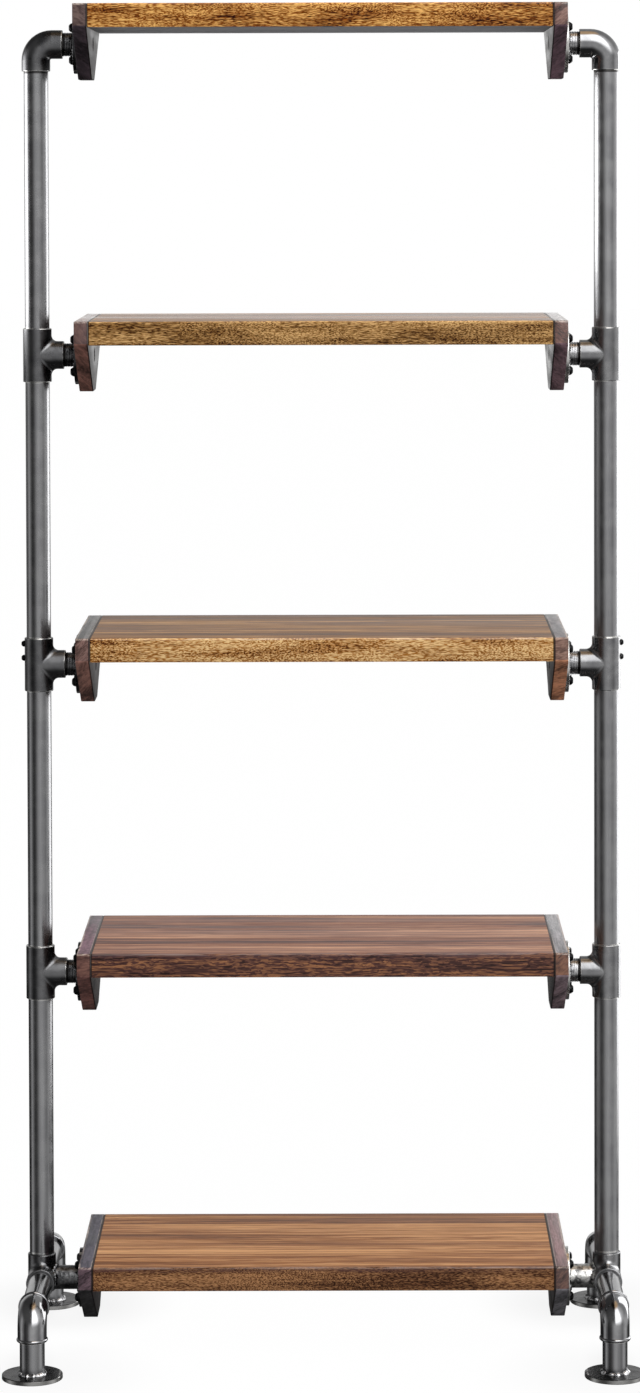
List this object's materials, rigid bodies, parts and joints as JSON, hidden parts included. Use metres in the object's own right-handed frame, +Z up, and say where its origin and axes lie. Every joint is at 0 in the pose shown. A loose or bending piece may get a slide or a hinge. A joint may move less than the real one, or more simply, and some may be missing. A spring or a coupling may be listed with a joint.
{
  "type": "etagere",
  "caption": "Tall open etagere: wooden shelves on shield-shaped end brackets, carried between two posts of dark steel pipe with tees, elbows and round foot plates.",
  "frame": {"origin": "on the floor under the middle of the unit", "axes": "+Z up, front towards -Y, +X along the shelves to the right"},
  "size_m": [0.857, 0.456, 1.829],
  "materials": {
    "pipe": "dark lacquered steel, satin with crisp highlights",
    "nipple": "threaded dark steel",
    "fitting": "dark lacquered casting, glossy",
    "plate": "dark lacquered plate",
    "weld": "rough bright weld under lacquer",
    "screw": "black, semi-gloss",
    "board": "oiled staves, satin",
    "bracket": "dark oiled wood, satin",
    "dowel": "bare wood"
  },
  "bodies": {
    "root": {"left_base_tee": "fitting", "left_lower_tee": "fitting", "left_middle_tee": "fitting", "left_upper_tee": "fitting", "left_top_elbow": "fitting", "left_bottom_post_tube": "pipe", "left_lower_post_tube": "pipe", "left_middle_post_tube": "pipe", "left_upper_post_tube": "pipe", "right_base_tee": "fitting", "right_lower_tee": "fitting", "right_middle_tee": "fitting", "right_upper_tee": "fitting", "right_top_elbow": "fitting", "right_bottom_post_tube": "pipe", "right_lower_post_tube": "pipe", "right_middle_post_tube": "pipe", "right_upper_post_tube": "pipe", "bottom_shelf_board": "board", "bottom_left_bracket": "bracket", "bottom_left_shelf_plate": "plate", "bottom_right_bracket": "bracket", "bottom_right_shelf_plate": "plate", "lower_shelf_board": "board", "lower_left_bracket": "bracket", "lower_left_shelf_plate": "plate", "lower_right_bracket": "bracket", "lower_right_shelf_plate": "plate", "middle_shelf_board": "board", "middle_left_bracket": "bracket", "middle_left_shelf_plate": "plate", "middle_right_bracket": "bracket", "middle_right_shelf_plate": "plate", "upper_shelf_board": "board", "upper_left_bracket": "bracket", "upper_left_shelf_plate": "plate", "upper_right_bracket": "bracket", "upper_right_shelf_plate": "plate", "top_shelf_board": "board", "top_left_bracket": "bracket", "top_left_shelf_plate": "plate", "top_right_bracket": "bracket", "top_right_shelf_plate": "plate", "left_front_foot_elbow": "fitting", "left_front_foot_plate": "plate", "left_rear_foot_elbow": "fitting", "left_rear_foot_plate": "plate", "right_front_foot_elbow": "fitting", "right_front_foot_plate": "plate", "right_rear_foot_elbow": "fitting", "right_rear_foot_plate": "plate", "shelf_nipples": "nipple", "base_spurs": "nipple", "foot_arms": "pipe", "foot_pipes": "pipe", "foot_welds": "weld", "plate_welds": "weld", "plate_screws": "screw", "set_screws": "screw", "bracket_dowels": "dowel"}
  },
  "joints": []
}
